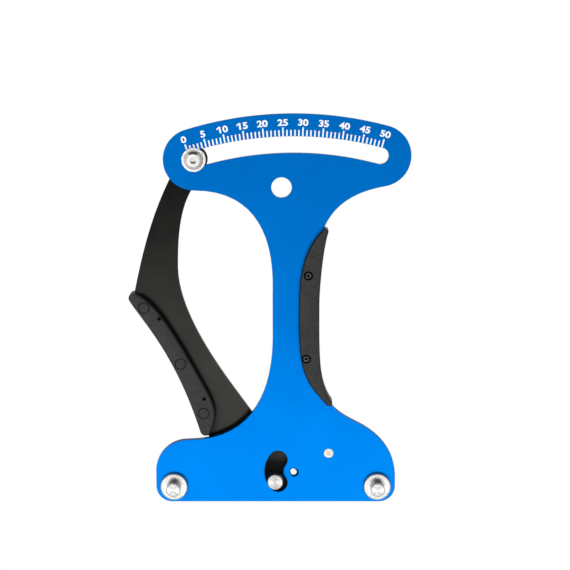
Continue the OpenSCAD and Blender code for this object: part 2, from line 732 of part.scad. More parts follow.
// Pulls of the body grip's curves, each at its start and its end
edge_low_pull = [10, 24];
edge_top_pull = [8, 8];
inner_top_pull = [16.8, 12.9];
inner_low_pull = [25.9, 14.5];
function on_low(a) = body_low + body_grip_low_r * dir(a);
function on_top(a) = body_top + body_grip_top_r * dir(a);
low_middle = (low_round[0] + low_round[1] + 360) / 2;
body_grip_points = join([
    arc(body_low, body_grip_low_r, low_middle, low_round[1] + 360),
    curve(on_low(low_round[1]), low_round[1] + 90, edge_low_pull[0],
        [body_edge, edge_straight[0]], 90, edge_low_pull[1]),
    curve([body_edge, edge_straight[1]], 90, edge_top_pull[0],
        on_top(top_round[0]), top_round[0] + 90, edge_top_pull[1]),
    arc(body_top, body_grip_top_r, top_round[0], top_round[1]),
    curve(on_top(top_round[1]), top_round[1] + 90, inner_top_pull[0],
        [body_inner, inner_straight[1]], 270, inner_top_pull[1]),
    curve([body_inner, inner_straight[0]], 270, inner_low_pull[0],
        on_low(low_round[0]), low_round[0] + 90, inner_low_pull[1]),
    arc(body_low, body_grip_low_r, low_round[0], low_middle)
]);

grip_heel = heel - grip_over * dir(90 - heel_slope);
grip_elbow = elbow - grip_over * dir(90 - elbow_out);
arm_low = grip_heel + arm_grip_low_r * dir(90 - heel_slope);
arm_top = grip_elbow + arm_grip_top_r * dir(90 - elbow_out);
arm_bulge = heel + [arm_grip_bulge_x, arm_grip_bulge_z];
bulge_slope = 118;
low_turn = -20; // angles at which the inner edge meets the ends' rounds
top_turn = 63;
bulge_low_pull = [8.1, 12.1];
bulge_top_pull = [46.8, 8];
top_middle = (top_turn + 270 - elbow_out) / 2;
arm_grip_points = join([
    arc(arm_top, arm_grip_top_r, top_middle, 270 - elbow_out),
    curve(grip_elbow, -elbow_out, wrap_pull[0], grip_heel, -heel_slope, wrap_pull[1], 2 * curve_steps),
    arc(arm_low, arm_grip_low_r, 270 - heel_slope, low_turn + 360),
    curve(arm_low + arm_grip_low_r * dir(low_turn), low_turn + 90, bulge_low_pull[0],
        arm_bulge, bulge_slope, bulge_low_pull[1]),
    curve(arm_bulge, bulge_slope, bulge_top_pull[0],
        arm_top + arm_grip_top_r * dir(top_turn), top_turn + 90, bulge_top_pull[1]),
    arc(arm_top, arm_grip_top_r, top_turn, top_middle)
]);

// A pan-head grip screw along Y. Its head's seat is at y = 0 and its shank runs to +y.
module grip_screw(shank) {
    r = grip_head_d / 2;
    edge = 0.5;
    point = 0.4;
    socket_depth = 0.8;
    difference() {
        turned([
            [0, -grip_head_h], [r - edge, -grip_head_h], [r, -grip_head_h + edge], [r, 0],
            [grip_screw_d / 2, 0], [grip_screw_d / 2, shank - point], [grip_screw_d / 2 - point, shank],
            [0, shank]
        ]);
        translate([0, -grip_head_h - through, 0]) rotate([-90, 0, 0])
            cylinder(d = socket_ratio * grip_screw_d, h = socket_depth + through, $fn = 6);
    }
}

// Cuts for a grip screw in the half under its head, seen with that half in front
module head_hole(face) {
    seat = face - grip_head_h - loose;
    rod(grip_screw_d / 2 + loose, -face - through, through);
    rod(grip_head_d / 2 + loose, -face - through, -seat);
}

grip_face_plate = plate_t / 2 + grip_t;
grip_face_arm = arm_t / 2 + grip_t;
grip_bite = 2.2; // depth of the screw in the far half

module body_grip_front() {
    color(grip_grey) difference() {
        grip_half(body_grip_points, grip_face_plate);
        slab(plate_front, through) frame_outline();
        for (p = body_screws) at(p) head_hole(grip_face_plate);
    }
}

module body_grip_rear() {
    color(grip_grey) difference() {
        mirror([0, 1, 0]) grip_half(body_grip_points, grip_face_plate);
        slab(-through, plate_back) frame_outline();
        for (p = body_screws) at(p) rod(grip_screw_d / 2 + fit, -through, plate_back + grip_bite + fit);
    }
}

module body_grip_screws() {
    seat = grip_face_plate - grip_head_h - loose;
    color(black) for (p = body_screws) at(p)
        translate([0, -seat, 0]) grip_screw(seat + plate_back + grip_bite);
}

module arm_grip_front() {
    color(grip_grey) difference() {
        translate([0, arm_mid, 0]) grip_half(arm_grip_points, grip_face_arm);
        slab(arm_front, arm_mid + through) arm_outline();
        for (p = arm_screws) at(p) {
            rod(grip_screw_d / 2 + fit, arm_front - grip_bite - fit, arm_mid + through);
            rod(grip_vent_d / 2, arm_front - grip_t - through, arm_mid);
        }
    }
}

module arm_grip_rear() {
    color(grip_grey) difference() {
        translate([0, arm_mid, 0]) mirror([0, 1, 0]) grip_half(arm_grip_points, grip_face_arm);
        slab(arm_mid - through, arm_back) arm_outline();
        for (p = arm_screws) at(p) translate([0, arm_mid, 0]) mirror([0, 1, 0]) head_hole(grip_face_arm);
    }
}

module arm_grip_screws() {
    seat = grip_face_arm - grip_head_h - loose;
    color(black) for (p = arm_screws) at(p)
        translate([0, arm_mid + seat, 0]) mirror([0, 1, 0]) grip_screw(seat + arm_t / 2 + grip_bite);
}

// The part's own frame has its origin at the hanging hole
module placed() {
    translate([hang_left, 0, -hang_up]) children();
}

placed() frame_plate();
placed() fixed_post_left();
placed() fixed_post_right();
placed() post_screws();
placed() post_washers();
placed() pivot_pin();
placed() spring_anchor_stud();
placed() spring_arbor();
placed() retaining_washer();
placed() retaining_clip();
placed() return_spring();
placed() body_grip_front();
placed() body_grip_rear();
placed() body_grip_screws();
placed() arm_plate();
placed() pivot_bush();
placed() pivot_glide_washer();
placed() moving_post();
placed() moving_post_screw();
placed() pointer_screw();
placed() pointer_washer();
placed() pointer_sleeve();
placed() pointer_glide_washer();
placed() pointer_rear_washer();
placed() pointer_nut();
placed() arm_grip_front();
placed() arm_grip_rear();
placed() arm_grip_screws();
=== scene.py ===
"""Looks of the spoke tension meter, piece by piece as the tool is put together.

Lengths are in metres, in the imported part's frame.
"""
import math

import bmesh
import bpy
import numpy as np
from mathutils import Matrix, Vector


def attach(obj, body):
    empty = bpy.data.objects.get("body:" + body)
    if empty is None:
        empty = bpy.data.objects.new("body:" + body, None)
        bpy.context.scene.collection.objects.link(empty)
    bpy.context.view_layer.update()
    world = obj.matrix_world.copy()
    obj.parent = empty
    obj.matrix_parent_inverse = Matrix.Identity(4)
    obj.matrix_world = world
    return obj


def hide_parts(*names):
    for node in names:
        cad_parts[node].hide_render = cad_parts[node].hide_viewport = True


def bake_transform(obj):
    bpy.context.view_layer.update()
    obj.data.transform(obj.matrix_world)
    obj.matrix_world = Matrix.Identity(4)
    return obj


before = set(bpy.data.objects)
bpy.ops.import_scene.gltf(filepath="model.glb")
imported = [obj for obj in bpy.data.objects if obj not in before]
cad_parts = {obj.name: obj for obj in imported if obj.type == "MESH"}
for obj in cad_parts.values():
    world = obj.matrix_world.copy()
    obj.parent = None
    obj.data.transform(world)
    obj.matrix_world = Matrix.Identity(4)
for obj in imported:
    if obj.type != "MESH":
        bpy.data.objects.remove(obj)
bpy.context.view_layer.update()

# Camera: square to the tool from side to side and 10 degrees above it, with a long lens, so that the outline
# narrows only a little towards the foot.
sight = Vector((0.00170, -0.0015, -0.0479))
sight_tilt = math.radians(10.19)
sight_distance = 0.6893


def new_object(name, data):
    """An object with this data, put into the scene."""
    made = bpy.data.objects.new(name, data)
    bpy.context.scene.collection.objects.link(made)
    return made


lens = bpy.data.cameras.new("camera")
lens.sensor_width = 36.0
lens.lens = 88.77
lens.clip_start = 0.01
lens.clip_end = 50.0
camera = new_object("camera", lens)
camera.location = sight + sight_distance * Vector((0.0, -math.cos(sight_tilt), math.sin(sight_tilt)))
camera.rotation_euler = (math.pi / 2 - sight_tilt, 0.0, 0.0)
bpy.context.scene.camera = camera
bpy.context.scene.view_settings.view_transform = "Standard"

# Frame plate: one flat aluminium plate, 3 mm thick, cut with its slots and holes in one go. Its edges are
# broken and the whole plate has a satin blue coating. Its cut edges are painted a darker, less metallic blue
# as shade, and a dark spot beside the pivot, to its lower right, is the pivot's painted shadow.
mm = 1e-3
deep_blue = (0.0, 0.116, 0.420)
light_blue = (0.0, 0.128, 0.452)
edge_shade_blue = (0.0, 0.035, 0.115)
pivot_shadow_blue = (0.0, 0.008, 0.035)
pivot_shadow_place = (6.35 * mm, -143.45 * mm)
pivot_shadow_edge = (2.0 * mm, 2.45 * mm)


class Shade:
    """One output of a shader node. Operators on it add Math nodes, and add() puts in a node of any other
    kind."""

    def __init__(self, tree, output=None):
        self.tree = tree
        self.output = output

    def add(self, kind, settings=None, sockets=None, output=0):
        """A new node of this kind: its settings first, then a value or a link for each socket."""
        node = self.tree.nodes.new(kind)
        for name, value in (settings or {}).items():
            setattr(node, name, value)
        for name, value in (sockets or {}).items():
            if isinstance(value, Shade):
                self.tree.links.new(value.output, node.inputs[name])
            else:
                node.inputs[name].default_value = value
        return Shade(self.tree, node.outputs[output] if len(node.outputs) else None)

    def maths(self, operation, first, second=0.0):
        return self.add("ShaderNodeMath", {"operation": operation}, {0: first, 1: second})

    def __add__(self, other):
        return self.maths("ADD", self, other)

    def __radd__(self, other):
        return self.maths("ADD", other, self)

    def __sub__(self, other):
        return self.maths("SUBTRACT", self, other)

    def __rsub__(self, other):
        return self.maths("SUBTRACT", other, self)

    def __mul__(self, other):
        return self.maths("MULTIPLY", self, other)

    def __rmul__(self, other):
        return self.maths("MULTIPLY", other, self)

    def __truediv__(self, other):
        return self.maths("DIVIDE", self, other)

    def __abs__(self):
        return self.maths("ABSOLUTE", self)

    def larger(self, other):
        return self.maths("MAXIMUM", self, other)

    def soft(self, low, high):
        """0 below low, 1 above high and a smooth rise between them."""
        return self.add("ShaderNodeMapRange", {"interpolation_type": "SMOOTHSTEP"},
                        {"Value": self, "From Min": low, "From Max": high})

    def tint(self, first, second):
        """From one colour to another as this value goes from 0 to 1."""
        first, second = (c if isinstance(c, Shade) else (*c, 1.0) for c in (first, second))
        return self.add("ShaderNodeMix", {"data_type": "RGBA"}, {0: self, 6: first, 7: second}, 2)

    def bump(self, strength, depth):
        """The surface's normal, bent as by a relief of this height and depth."""
        return self.add("ShaderNodeBump", None, {"Strength": strength, "Distance": depth, "Height": self})

    def axis(self, name):
        """One part of this vector: X, Y or Z."""
        return self.add("ShaderNodeSeparateXYZ", None, {0: self}, name)

    def noise(self, scale, detail):
        """Noise from 0 to 1, read at this place. Its lumps are about 1 / scale metres wide."""
        return self.add("ShaderNodeTexNoise", None, {"Vector": self, "Scale": scale, "Detail": detail})

    def reach(self, centre):
        """The distance of this place from an axis along Y, which goes through the centre [x, z]."""
        across = self.axis("X") - float(centre[0])
        up = self.axis("Z") - float(centre[1])
        return self.maths("SQRT", across * across + up * up)

    def facing(self, name):
        """How far the surface faces along an axis of the object, from -1 to 1."""
        return self.add("ShaderNodeTexCoord", output="Normal").axis(name)

    def attribute(self, name):
        """The value that the piece's own attribute of this name has here."""
        return self.add("ShaderNodeAttribute", {"attribute_name": name}, output="Fac")


def new_material(name):
    """An empty node material, a Shade to start its nodes from, and the place in the object."""
    material = bpy.data.materials.new(name)
    material.use_nodes = True
    material.node_tree.nodes.clear()
    start = Shade(material.node_tree)
    return material, start, start.add("ShaderNodeTexCoord", output="Object")


def coat(start, sockets):
    """Ends a material in one Principled shader with these sockets."""
    shader = start.add("ShaderNodeBsdfPrincipled", None, sockets)
    start.add("ShaderNodeOutputMaterial", None, {"Surface": shader})


def finished(node, edge):
    """A finished copy of a CAD piece: its triangles are joined, its flats made whole and its curves shaded
    smooth, and every edge sharper than 30 degrees is rounded over this far."""
    sharp = math.radians(30.0)
    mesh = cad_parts[node].data.copy()
    for left_over in ("custom_normal", "sharp_face", "sharp_edge"):
        if left_over in mesh.attributes:
            mesh.attributes.remove(mesh.attributes[left_over])
    shape = bmesh.new()
    shape.from_mesh(mesh)
    bmesh.ops.remove_doubles(shape, verts=shape.verts, dist=0.002 * mm)
    bmesh.ops.dissolve_limit(shape, angle_limit=math.radians(0.4), verts=shape.verts, edges=shape.edges)
    shape.to_mesh(mesh)
    shape.free()
    mesh.shade_smooth()
    mesh.set_sharp_from_angle(angle=sharp)
    piece = new_object(node + "_finished", mesh)
    rounding = piece.modifiers.new("broken_edges", "BEVEL")
    rounding.width = edge
    rounding.segments = 2
    rounding.limit_method = "ANGLE"
    rounding.angle_limit = sharp
    rounding.harden_normals = True
    rounding.use_clamp_overlap = True
    return piece


def fit(piece, node, body, material):
    """The piece takes the place of a CAD node: it moves with its body and has its finish."""
    piece.data.materials.clear()
    piece.data.materials.append(material)
    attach(piece, body)
    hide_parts(node)


blue_coating, start, here = new_material("satin_blue_coating")
cloud = here.noise(38.0, 2.0)
fine = here.noise(2600.0, 2.0)
blue = (0.35 * fine + 0.65 * cloud).soft(0.3, 0.7).tint(deep_blue, light_blue)
# Painted shade: the faces that turn sideways, the cut edges, are a darker, less metallic blue.
wall = 1.0 - abs(start.facing("Y")).soft(0.80, 0.97)
# Painted shadow: a dark, less metallic spot just to the lower right of the pivot.
painted_shade = 1.0 - here.reach(pivot_shadow_place).soft(*pivot_shadow_edge)
coat(start, {"Base Color": painted_shade.tint(wall.tint(blue, edge_shade_blue), pivot_shadow_blue),
             "Metallic": 0.92 - 0.92 * wall.larger(painted_shade), "Roughness": 0.36 + 0.06 * fine,
             "Specular IOR Level": 0.12, "Specular Tint": (0.05, 0.35, 1.0, 1.0),
             "Normal": fine.bump(0.25, 0.004 * mm)})
fit(finished("frame_plate", 0.22 * mm), "frame_plate", "frame", blue_coating)

# Scale: white ink printed on the plate along the upper edge of the slot, one tick for each whole reading and
# a longer one with its number at every fifth.
pivot_x = 6.0 * mm
pivot_z = -143.0 * mm
plate_face = -1.5 * mm
ink = 0.03 * mm
thin_white = (0.86, 0.87, 0.88)
full_white = (0.95, 0.95, 0.95)
scale_radius = 163.8 * mm
zero_angle = math.radians(107.75)
reading_step = math.radians(0.6475)
scale_bow = math.radians(0.22)
tick_foot = scale_radius + 4.1 * mm
tick_width = 0.66 * mm
tick_length = 3.0 * mm
long_tick = 4.2 * mm


def reading_angle(reading):
    """The angle of a reading about the pivot: an even step for each, plus half a sine wave over the whole
    scale, since the real divisions lie a little to the left of even ones between the ends."""
    return zero_angle - reading_step * reading + scale_bow * np.sin(np.pi * reading / 50)


def around_pivot(radius, angle, y):
    """Points in the part's frame from a radius and an angle about the pivot, and a depth."""
    x = pivot_x + radius * np.cos(angle)
    z = pivot_z + radius * np.sin(angle)
    return np.stack(np.broadcast_arrays(x, y, z), -1)


def clean_up(mesh):
    """Joins points that coincide, drops faces without area and turns the others outwards."""
    shape = bmesh.new()
    shape.from_mesh(mesh)
    bmesh.ops.remove_doubles(shape, verts=shape.verts, dist=1e-7)
    bmesh.ops.dissolve_degenerate(shape, edges=shape.edges, dist=1e-7)
    bmesh.ops.recalc_face_normals(shape, faces=shape.faces)
    shape.to_mesh(mesh)
    shape.free()


def new_piece(name, points, faces, sharp=None, attributes=None):
    """An object from points and faces, and attributes by name with a value for each point. Where `sharp` is
    given, its curves are shaded smooth and its edges over that many degrees stay sharp."""
    mesh = bpy.data.meshes.new(name)
    mesh.from_pydata(np.reshape(points, (-1, 3)).tolist(), [], [list(map(int, face)) for face in faces])
    for kept, values in (attributes or {}).items():
        mesh.attributes.new(kept, "FLOAT", "POINT").data.foreach_set("value", values.astype(np.float32))
    clean_up(mesh)
    if sharp:
        mesh.shade_smooth()
        mesh.set_sharp_from_angle(angle=math.radians(sharp))
    return new_object(name, mesh)


white_ink, start, here = new_material("white_scale_ink")
speck = here.noise(1800.0, 2.0)
coat(start, {"Base Color": speck.soft(0.25, 0.6).tint(thin_white, full_white), "Roughness": 0.55,
             "Normal": speck.bump(0.2, 0.004 * mm)})

# Each tick is a thin flat bar: two radii, two sides and two depths give its eight corners.
reading = np.arange(51)
tick_reach = np.where(reading % 5 == 0, long_tick, tick_length)
side = np.array([-1.0, 1.0]) * tick_width / 2 / scale_radius
radius = tick_foot + np.array([0.0, 1.0])[None, :, None, None] * tick_reach[:, None, None, None]
angle = reading_angle(reading)[:, None, None, None] + side[None, None, :, None]
depth = np.array([plate_face - ink, plate_face + ink])[None, None, None, :]
bar = np.array([[0, 2, 3, 1], [4, 5, 7, 6], [0, 1, 5, 4], [2, 6, 7, 3], [0, 4, 6, 2], [1, 3, 7, 5]])
bars = (bar[None] + 8 * reading[:, None, None]).reshape(-1, 4)
ticks = new_piece("scale_ticks", around_pivot(radius, angle, depth), bars)
ticks.data.materials.append(white_ink)
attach(ticks, "frame")

# Each number is a flat letter outline made a mesh, sized by its height and then turned to stand on its tick.
# A leading 1 has a slanted flag, whose corners are measured from the top of its stroke, in the letters' size.
number_height = 3.25 * mm
number_radius = 174.5 * mm
number_wide = 1.20
number_weight = 0.032
one_top = 0.714
flag_reach = 0.23
flag_outline = ((0.0, 0.0), (0.0, -0.17), (-flag_reach, -0.16), (-flag_reach, -0.33))
flag_corners = np.array([[x, y, z] for x, y in flag_outline for z in (-0.5, 0.5)])


def points_of(mesh):
    """The points of a mesh, as rows of [x, y, z]."""
    points = np.empty(len(mesh.vertices) * 3, np.float32)
    mesh.vertices.foreach_get("co", points)
    return points.reshape(-1, 3).astype(float)


def move_points(mesh, points):
    """Puts the points of a mesh at these places."""
    mesh.vertices.foreach_set("co", points.astype(np.float32).ravel())


def printed(points, centre, low, size, value):
    """Points [across, up, out] of a number's flat outline, on the plate: a place (u, v) from the middle of
    the number lies at radius number_radius + v on its tick's angle, and u to the right of it."""
    angle = reading_angle(value)
    across = (points[:, 0] - centre) * size * number_wide
    out = number_radius + (points[:, 1] - low) * size - number_height / 2
    return np.stack([pivot_x + out * math.cos(angle) + across * math.sin(angle),
                     plate_face - points[:, 2] * 2 * ink,
                     pivot_z + out * math.sin(angle) - across * math.cos(angle)], -1)


for value in range(0, 51, 5):
    curve = bpy.data.curves.new("scale_number_%02d" % value, "FONT")
    curve.body = str(value)
    curve.align_x = "CENTER"
    curve.offset = number_weight
    curve.extrude = 0.5
    letters = new_object(curve.name, curve)
    bpy.context.view_layer.update()
    mesh = bpy.data.meshes.new_from_object(letters.evaluated_get(bpy.context.evaluated_depsgraph_get()))
    bpy.data.objects.remove(letters)
    outline = points_of(mesh)
    left, low = outline.min(0)[:2]
    right, high = outline.max(0)[:2]
    flagged = str(value)[0] == "1"
    on_tick = ((left - flag_reach * flagged + right) / 2, low, number_height / (high - low), value)
    move_points(mesh, printed(outline, *on_tick))
    clean_up(mesh)
    number = new_object(curve.name, mesh)
    mesh.materials.clear()
    mesh.materials.append(white_ink)
    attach(number, "frame")
    if flagged:
        flag_place = printed(flag_corners + [left, one_top, 0.0], *on_tick)
        flag = new_piece("scale_flag_%02d" % value, flag_place, bar)
        flag.data.materials.append(white_ink)
        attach(flag, "frame")

# Fixed posts: turned steel, each a flange with a plain stub for the spoke, screwed to the plate from behind.
# Their faces keep the fine rings of the lathe, with four darker wedges painted on as a turned face's
# reflection. The stub's side is painted brighter as reflected light, and painted shade lies on its upper
# side.
flange_front = plate_face - 2.5 * mm
post_front = flange_front - 5.0 * mm
flange_radius = 6.8 * mm
post_radius = 3.5 * mm
turned_edge = 0.4 * mm
corner_round = 0.15 * mm
lathe_pitch = 0.42 * mm
lathe_depth = 0.04 * mm
post_height = pivot_z - 7.5 * mm
post_places = {"fixed_post_left": pivot_x - 60 * mm, "fixed_post_right": pivot_x + 42 * mm}
post_grey = (0.325, 0.325, 0.32)
stub_lit_grey = (0.80, 0.79, 0.77)
shade_brown = (0.07, 0.065, 0.058)
face_grey = (0.46, 0.46, 0.45)
wedge_shade_grey = (0.20, 0.195, 0.19)


def grid_faces(rows, columns, rows_close, columns_close):
    """Four-sided faces of a grid of points, given row by row, which may close on itself either way."""
    i, j = np.meshgrid(np.arange(rows if rows_close else rows - 1),
                       np.arange(columns if columns_close else columns - 1), indexing="ij")
    k = (i + 1) % rows
    m = (j + 1) % columns
    corners = [i * columns + j, i * columns + m, k * columns + m, k * columns + j]
    return np.stack(corners, -1).reshape(-1, 4)


def turned(name, profile, centre, edge, sides=96):
    """A piece turned on a lathe about an axis along Y. The profile is a row of [radius, y] corners, which
    starts and ends on the axis, or goes round in a loop where the piece has a bore. Each corner is rounded by
    a parabola whose ends lie `edge` from it, or half its shorter side where that is less. A point is centre +
    radius * (cos a, sin a) across, with its y along the axis. The attribute "along" keeps its distance along
    the profile, in mm, and "upward" its sin a."""
    corner = np.array(profile, float)
    loop = corner[0, 0] > 0
    to_last = np.roll(corner, 1, 0) - corner
    to_next = np.roll(corner, -1, 0) - corner
    last_length = np.linalg.norm(to_last, axis=1, keepdims=True)
    next_length = np.linalg.norm(to_next, axis=1, keepdims=True)
    cut = np.minimum(edge, np.minimum(last_length, next_length) / 2)
    before = corner + to_last / last_length * cut
    after = corner + to_next / next_length * cut
    t = np.linspace(0.0, 1.0, 5)[None, :, None]
    rounded = (1 - t) ** 2 * before[:, None] + 2 * t * (1 - t) * corner[:, None] + t ** 2 * after[:, None]
    line = rounded.reshape(-1, 2)
    if not loop:
        line = np.concatenate([corner[:1], rounded[1:-1].reshape(-1, 2), corner[-1:]])
    angle = np.linspace(0.0, 2 * math.pi, sides, endpoint=False)
    x = centre[0] + line[None, :, 0] * np.cos(angle)[:, None]
    z = centre[1] + line[None, :, 0] * np.sin(angle)[:, None]
    points = np.stack(np.broadcast_arrays(x, line[None, :, 1], z), -1)
    along = np.concatenate([[0.0], np.cumsum(np.linalg.norm(np.diff(line, axis=0), axis=1))]) / mm
    kept = {"along": np.tile(along, sides), "upward": np.repeat(np.sin(angle), len(line))}
    piece = new_piece(name, points, grid_faces(sides, len(line), True, loop), 35.0, kept)
    piece.modifiers.new("even_shading", "WEIGHTED_NORMAL").keep_sharp = True
    return piece


def lathe_rings(outer, y):
    """Corners of a face turned with rings, from its outer radius in to its middle: the radius falls by half a
    pitch from one to the next while y goes in by the depth and out again."""
    count = 2 * int(outer / lathe_pitch)
    return [[outer - lathe_pitch / 2 * (i + 1), y + lathe_depth * ((i + 1) % 2)] for i in range(count - 1)]


def turned_steel(name, colour, rough, pitch, depth, marks=None):
    """Bright steel with lathe rings: a wave of the distance along the profile, with this pitch in mm, raises
    the surface, and a noise read by that distance makes the rings uneven. `marks` is a function that adds a
    piece's own marks and painted light and shade to the colour, from the attributes "along" and "upward"."""
    material, start, here = new_material(name)
    along = start.attribute("along")
    wave = start.maths("SINE", along * (2 * math.pi / pitch))
    streak = start.add("ShaderNodeCombineXYZ", None, {0: along * 9.0, 1: 0.5}).noise(1.0, 2.0)
    smudge = here.noise(420.0, 3.0)
    dark = tuple(0.80 * c for c in colour)
    steel = (0.6 * streak + 0.4 * smudge).soft(0.3, 0.65).tint(dark, colour)
    if marks:
        steel = marks(steel, along, start.attribute("upward"))
    coat(start, {"Base Color": steel, "Metallic": 1.0, "Roughness": rough - 0.05 + 0.12 * smudge,
                 "Normal": (0.5 * wave + streak).bump(1.0, depth)})
    return material


def post_marks(steel, along, upward):
    """The stub's side painted brighter as reflected light, painted shade on its upper side, and the face in a
    paler grey with darker wedges at 45 degrees painted on as a turned face's reflection. The stub lies from
    12.3 to 16.8 mm along the profile, and the face goes on from there to the middle."""
    # Painted light on the stub's side, painted shade on its upper side, painted reflection wedges on the
    # face.
    stub = along.soft(12.2, 12.4) * (1.0 - along.soft(16.7, 16.9))
    painted_shade = along.soft(11.2, 12.5) * (1.0 - along.soft(16.0, 16.9)) * upward.soft(0.76, 0.97)
    face = along.soft(16.9, 17.6)
    wedges = face * (1.0 - abs(abs(upward) - 0.71).soft(0.02, 0.24))
    for share, mark, colour in ((1.0, stub, stub_lit_grey), (0.85, painted_shade, shade_brown), (0.5, face, face_grey),
                                (0.5, wedges, wedge_shade_grey)):
        steel = (share * mark).tint(steel, colour)
    return steel


post_steel = turned_steel("post_steel", post_grey, 0.27, 0.30, 0.006 * mm, post_marks)
for name, x in post_places.items():
    post = turned(name + "_turned", [
        [0, plate_face], [flange_radius, plate_face], [flange_radius, flange_front + turned_edge],
        [flange_radius - turned_edge, flange_front], [post_radius, flange_front],
        [post_radius, post_front + turned_edge], [post_radius - turned_edge, post_front],
        *lathe_rings(post_radius - turned_edge, post_front), [0, post_front]
    ], (x, post_height), corner_round)
    fit(post, name, "frame", post_steel)

# Post screws and washers: bought fasteners of zinc-plated steel. They go in from behind, through the plate,
# and hold the fixed posts.
dull_zinc = (0.44, 0.45, 0.46)
bright_zinc = (0.56, 0.57, 0.57)
plated_steel, start, here = new_material("plated_steel")
patch = here.noise(260.0, 3.0)
pits = here.noise(5200.0, 2.0)
coat(start, {"Base Color": patch.soft(0.3, 0.7).tint(dull_zinc, bright_zinc), "Metallic": 1.0,
             "Roughness": 0.26 + 0.14 * patch, "Normal": pits.bump(0.5, 0.005 * mm)})
fit(finished("post_screws", 0.12 * mm), "post_screws", "frame", plated_steel)
fit(finished("post_washers", 0.1 * mm), "post_washers", "frame", plated_steel)

# Arm plate: the lever, one steel plate of 3 mm, blanked and coated satin black. It lies behind the frame
# plate. A painted sheen greys it towards the foot, but behind the kidney slot it stays black as painted
# shade, and a painted shadow lies in a black band along the foot's hollow shoulder.
coating_black = (0.0015, 0.0015, 0.0014)
sheen_grey = (0.0410, 0.0400, 0.0360)
shadow_black = (0.0008, 0.0008, 0.0008)
sheen_fades = (-100.0 * mm, 10.0 * mm)
slot_shade_ends = (-139.5 * mm, -134.5 * mm)
shoulder_centre = (-42.88 * mm, -90.64 * mm)
shoulder_radius = 35.73 * mm
shadow_begins = (shoulder_radius - 2.6 * mm, shoulder_radius - 1.2 * mm)
shadow_top = (-104.0 * mm, -100.0 * mm)
shadow_right = (-12.0 * mm, -9.0 * mm)


def black_coating(name, shadowed=False):
    """Satin black, with a painted sheen that greys it towards the foot and a painted shadow in a band at the
    shoulder's radius round its centre. With the second argument set, it is also painted black as shade where
    the piece's own attribute for that is 0."""
    material, start, here = new_material(name)
    cloud = here.noise(60.0, 3.0)
    fine = here.noise(3000.0, 2.0)
    level = here.axis("Z")
    # Painted sheen greying towards the foot, and painted shade keeping it black behind the kidney slot.
    painted_sheen = (1.0 - level.soft(*sheen_fades)) * level.soft(*slot_shade_ends)
    mottle = (0.6 * cloud + 0.4 * fine).soft(0.3, 0.7)
    # Painted shadow: a black band along the foot's hollow shoulder.
    band = (here.reach(shoulder_centre).soft(*shadow_begins) * (1.0 - level.soft(*shadow_top))
            * (1.0 - here.axis("X").soft(*shadow_right)))
    colour = (0.8 * painted_sheen + 0.2 * mottle).tint(coating_black, sheen_grey)
    colour = band.tint(colour, shadow_black)
    if shadowed:
        # Painted shade: black where the film's attribute is 0, under the grip's edge.
        colour = start.attribute("unshaded").soft(0.30, 1.0).tint(shadow_black, colour)
    coat(start, {"Base Color": colour, "Roughness": 0.40 + 0.10 * fine, "Specular IOR Level": 0.05,
                 "Normal": fine.bump(0.5, 0.005 * mm)})
    return material


fit(finished("arm_plate", 0.15 * mm), "arm_plate", "arm", black_coating("satin_black_coating"))

# Moving post: turned steel like the fixed ones, but without a flange. It is screwed to the arm from behind
# and reaches forward through the kidney slot.
moving_place = (-3.179 * mm, -146.432 * mm)
moving_radius = 3.9 * mm
moving_grey = (0.31, 0.307, 0.298)
arm_front = 2.1 * mm
moving_post = turned("moving_post_turned", [
    [0, arm_front], [moving_radius, arm_front], [moving_radius, post_front + turned_edge],
    [moving_radius - turned_edge, post_front], *lathe_rings(moving_radius - turned_edge, post_front),
    [0, post_front]
], moving_place, corner_round)
moving_steel = turned_steel("moving_post_steel", moving_grey, 0.25, 0.30, 0.006 * mm)
fit(moving_post, "moving_post", "arm", moving_steel)
fit(finished("moving_post_screw", 0.1 * mm), "moving_post_screw", "arm", plated_steel)

# Pivot pin and spring anchor stud: turned steel, each riveted over at the plate's front, where its end is
# small and round. The pin's steel is painted brighter and the stud's darker, as lit and shaded copies of one
# steel, and a punch has left a brownish cross on the stud's end.
pin_lit_greys = ((0.55, 0.54, 0.52), (0.80, 0.80, 0.79))
stud_shaded_greys = ((0.25, 0.24, 0.225), (0.34, 0.34, 0.335))
punch_brown = (0.26, 0.19, 0.12)
stud_place = (23.6 * mm, -133.6 * mm)
cross_line = (0.2 * mm, 0.6 * mm)
cross_reach = (1.2 * mm, 1.8 * mm)
cross_depth = (-1.4 * mm, -1.2 * mm)


def rivet_steel(name, greys, punched=None):
    """Bare steel between two greys, uneven where the hammer struck it. Where a punched place [x, z] is given,
    its front end has the cross, of two lines at 45 degrees."""
    material, start, here = new_material(name)
    patch = here.noise(900.0, 3.0)
    steel = patch.soft(0.35, 0.65).tint(*greys)
    if punched:
        x = here.axis("X") - punched[0]
        z = here.axis("Z") - punched[1]
        lines = (1.0 - abs(x - z).soft(*cross_line)).larger(1.0 - abs(x + z).soft(*cross_line))
        lines = lines * (1.0 - here.reach(punched).soft(*cross_reach))
        steel = (lines * (1.0 - here.axis("Y").soft(*cross_depth))).tint(steel, punch_brown)
    coat(start, {"Base Color": steel, "Metallic": 1.0, "Roughness": 0.24 + 0.10 * patch,
                 "Normal": patch.bump(0.8, 0.03 * mm)})
    return material


fit(finished("pivot_pin", 0.1 * mm), "pivot_pin", "frame", rivet_steel("pin_steel", pin_lit_greys))
fit(finished("spring_anchor_stud", 0.1 * mm), "spring_anchor_stud", "frame",
    rivet_steel("stud_steel", stud_shaded_greys, stud_place))

